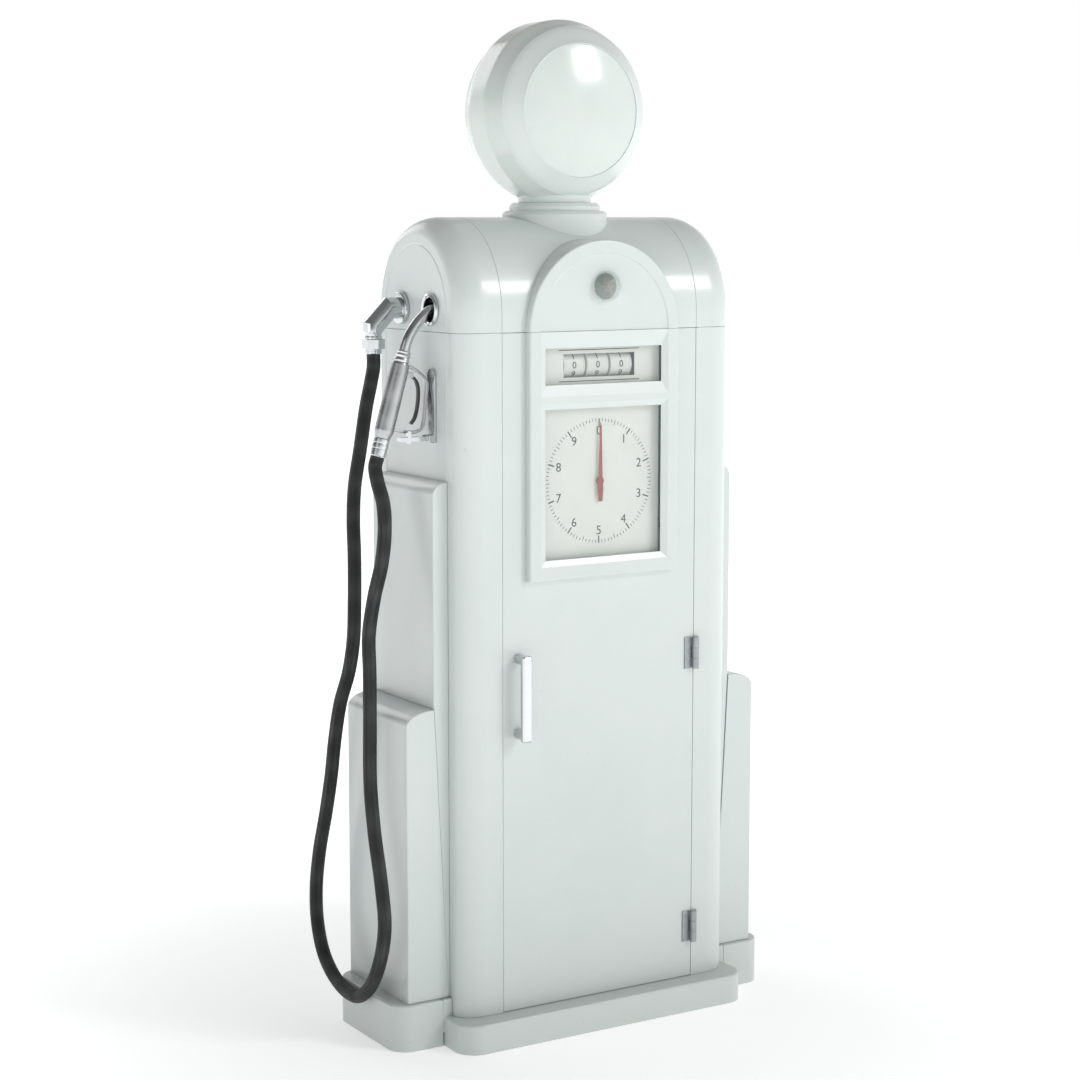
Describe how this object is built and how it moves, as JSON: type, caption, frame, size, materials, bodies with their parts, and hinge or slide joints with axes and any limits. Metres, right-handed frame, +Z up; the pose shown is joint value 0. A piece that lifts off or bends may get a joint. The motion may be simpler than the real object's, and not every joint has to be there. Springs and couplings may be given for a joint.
{
  "type": "gas pump",
  "caption": "Free-standing fuel dispenser cabinet with a lit globe, dial windows, stepped side wings, a hanging hose and a nozzle in its side port.",
  "frame": {"origin": "on the ground under the middle of the cabinet, at the base's underside", "axes": "+Z up, front door faces -Y, width along X, hose and nozzle on the -X end"},
  "size_m": [1.0366, 0.499, 2.273],
  "materials": {
    "enamel": "glossy pale grey-green baked enamel",
    "clear_glass": "clear polished sheet and moulded glass",
    "opal_glass": "white opal glass, satin inside and glossy outside",
    "dial_enamel": "satin cream enamel with black figures",
    "hand_red": "gloss red paint",
    "chrome": "polished chrome plate",
    "hinge_steel": "zinc plated steel",
    "nozzle_aluminium": "cast and buffed aluminium",
    "black_lever": "black japanned steel",
    "black_hose": "wrapped black rubber",
    "cast_iron": "grey machinery enamel on cast iron",
    "frame_steel": "primed mild steel",
    "register_case": "die cast counter case"
  },
  "bodies": {
    "root": {"base_casting": "enamel", "shoe_left": "enamel", "shoe_right": "enamel", "side_shell_left": "enamel", "side_shell_right": "enamel", "hood_end_left": "enamel", "hood_end_right": "enamel", "hood_middle": "enamel", "dial_arch_front": "enamel", "dial_arch_rear": "enamel", "rear_panel": "enamel", "dial_frame_rear": "enamel", "globe_collar": "enamel", "globe_ring_front": "enamel", "globe_ring_rear": "enamel", "upper_wing_left": "enamel", "upper_wing_right": "enamel", "lower_wing_left": "enamel", "lower_wing_right": "enamel", "window_glass_rear": "clear_glass", "sight_dome_front": "clear_glass", "sight_dome_rear": "clear_glass", "globe_body": "opal_glass", "globe_lens_front": "opal_glass", "globe_lens_rear": "opal_glass", "dial_plate_front": "dial_enamel", "dial_plate_rear": "dial_enamel", "outlet_elbow": "chrome", "hose_coupling": "chrome", "nozzle_ferrule": "chrome", "nozzle_port": "chrome", "lever_plate": "chrome", "nozzle_spout": "chrome", "hinge_post_lower": "hinge_steel", "hinge_post_upper": "hinge_steel", "nozzle_body": "nozzle_aluminium", "hose": "black_hose", "drive_belt": "black_hose", "motor": "cast_iron", "pump_unit": "cast_iron", "meter": "cast_iron", "inner_frame": "frame_steel", "outlet_pipe": "frame_steel", "register": "register_case"},
    "front_door": {"front_door": "enamel", "dial_frame_front": "enamel", "window_glass_front": "clear_glass", "door_handle": "chrome", "hinge_leaf_lower": "hinge_steel", "hinge_leaf_upper": "hinge_steel"},
    "start_lever": {"start_lever": "chrome"},
    "nozzle_trigger": {"nozzle_trigger": "black_lever"},
    "flow_spinner": {"flow_spinner": "hand_red"},
    "hand_front": {"gallon_hand_front": "hand_red"},
    "hand_rear": {"gallon_hand_rear": "hand_red"},
    "wheel_1": {"number_wheel_1": "dial_enamel"},
    "wheel_2": {"number_wheel_2": "dial_enamel"},
    "wheel_3": {"number_wheel_3": "dial_enamel"},
    "motor_pulley": {"motor_pulley": "cast_iron"},
    "pump_pulley": {"pump_pulley": "cast_iron"}
  },
  "joints": [
    {"name": "door_hinge", "type": "hinge", "parent": "root", "child": "front_door", "pos_m": [0.256, -0.206, 0.8], "axis": [0, 0, 1], "range_deg": [0, 110]},
    {"name": "lever_pivot", "type": "hinge", "parent": "root", "child": "start_lever", "pos_m": [-0.374, -0.078, 1.3565], "axis": [0, 1, 0], "range_deg": [-25, 0], "stiffness_Nm_per_rad": 0.5, "springref_deg": 22.92},
    {"name": "trigger_pivot", "type": "hinge", "parent": "root", "child": "nozzle_trigger", "pos_m": [-0.415, -0.072, 1.496], "axis": [0, 1, 0], "range_deg": [0, 10], "stiffness_Nm_per_rad": 0.3, "springref_deg": -22.92},
    {"name": "spinner_spin", "type": "hinge", "parent": "root", "child": "flow_spinner", "pos_m": [0, 0, 1.685], "axis": [0, 1, 0], "continuous": true},
    {"name": "hand_front_spin", "type": "hinge", "parent": "root", "child": "hand_front", "pos_m": [0, -0.195, 1.252], "axis": [0, 1, 0], "continuous": true},
    {"name": "hand_rear_spin", "type": "hinge", "parent": "root", "child": "hand_rear", "pos_m": [0, 0.195, 1.252], "axis": [0, -1, 0], "continuous": true},
    {"name": "wheel_1_spin", "type": "hinge", "parent": "root", "child": "wheel_1", "pos_m": [0.062, -0.15, 1.511], "axis": [-1, 0, 0], "continuous": true},
    {"name": "wheel_2_spin", "type": "hinge", "parent": "root", "child": "wheel_2", "pos_m": [0, -0.15, 1.511], "axis": [-1, 0, 0], "continuous": true},
    {"name": "wheel_3_spin", "type": "hinge", "parent": "root", "child": "wheel_3", "pos_m": [-0.062, -0.15, 1.511], "axis": [-1, 0, 0], "continuous": true},
    {"name": "pump_spin", "type": "hinge", "parent": "root", "child": "pump_pulley", "pos_m": [-0.12, -0.084, 0.205], "axis": [0, 1, 0], "continuous": true},
    {"name": "motor_spin", "type": "hinge", "parent": "root", "child": "motor_pulley", "pos_m": [0.12, -0.084, 0.205], "axis": [0, 1, 0], "continuous": true}
  ],
  "couplings": [
    {"joint": "wheel_1_spin", "follows": "wheel_2_spin", "ratio": 10},
    {"joint": "wheel_3_spin", "follows": "wheel_2_spin", "ratio": 0.1},
    {"joint": "hand_front_spin", "follows": "wheel_2_spin", "ratio": 1},
    {"joint": "hand_rear_spin", "follows": "wheel_2_spin", "ratio": 1},
    {"joint": "motor_spin", "follows": "pump_spin", "ratio": 1.9756}
  ]
}
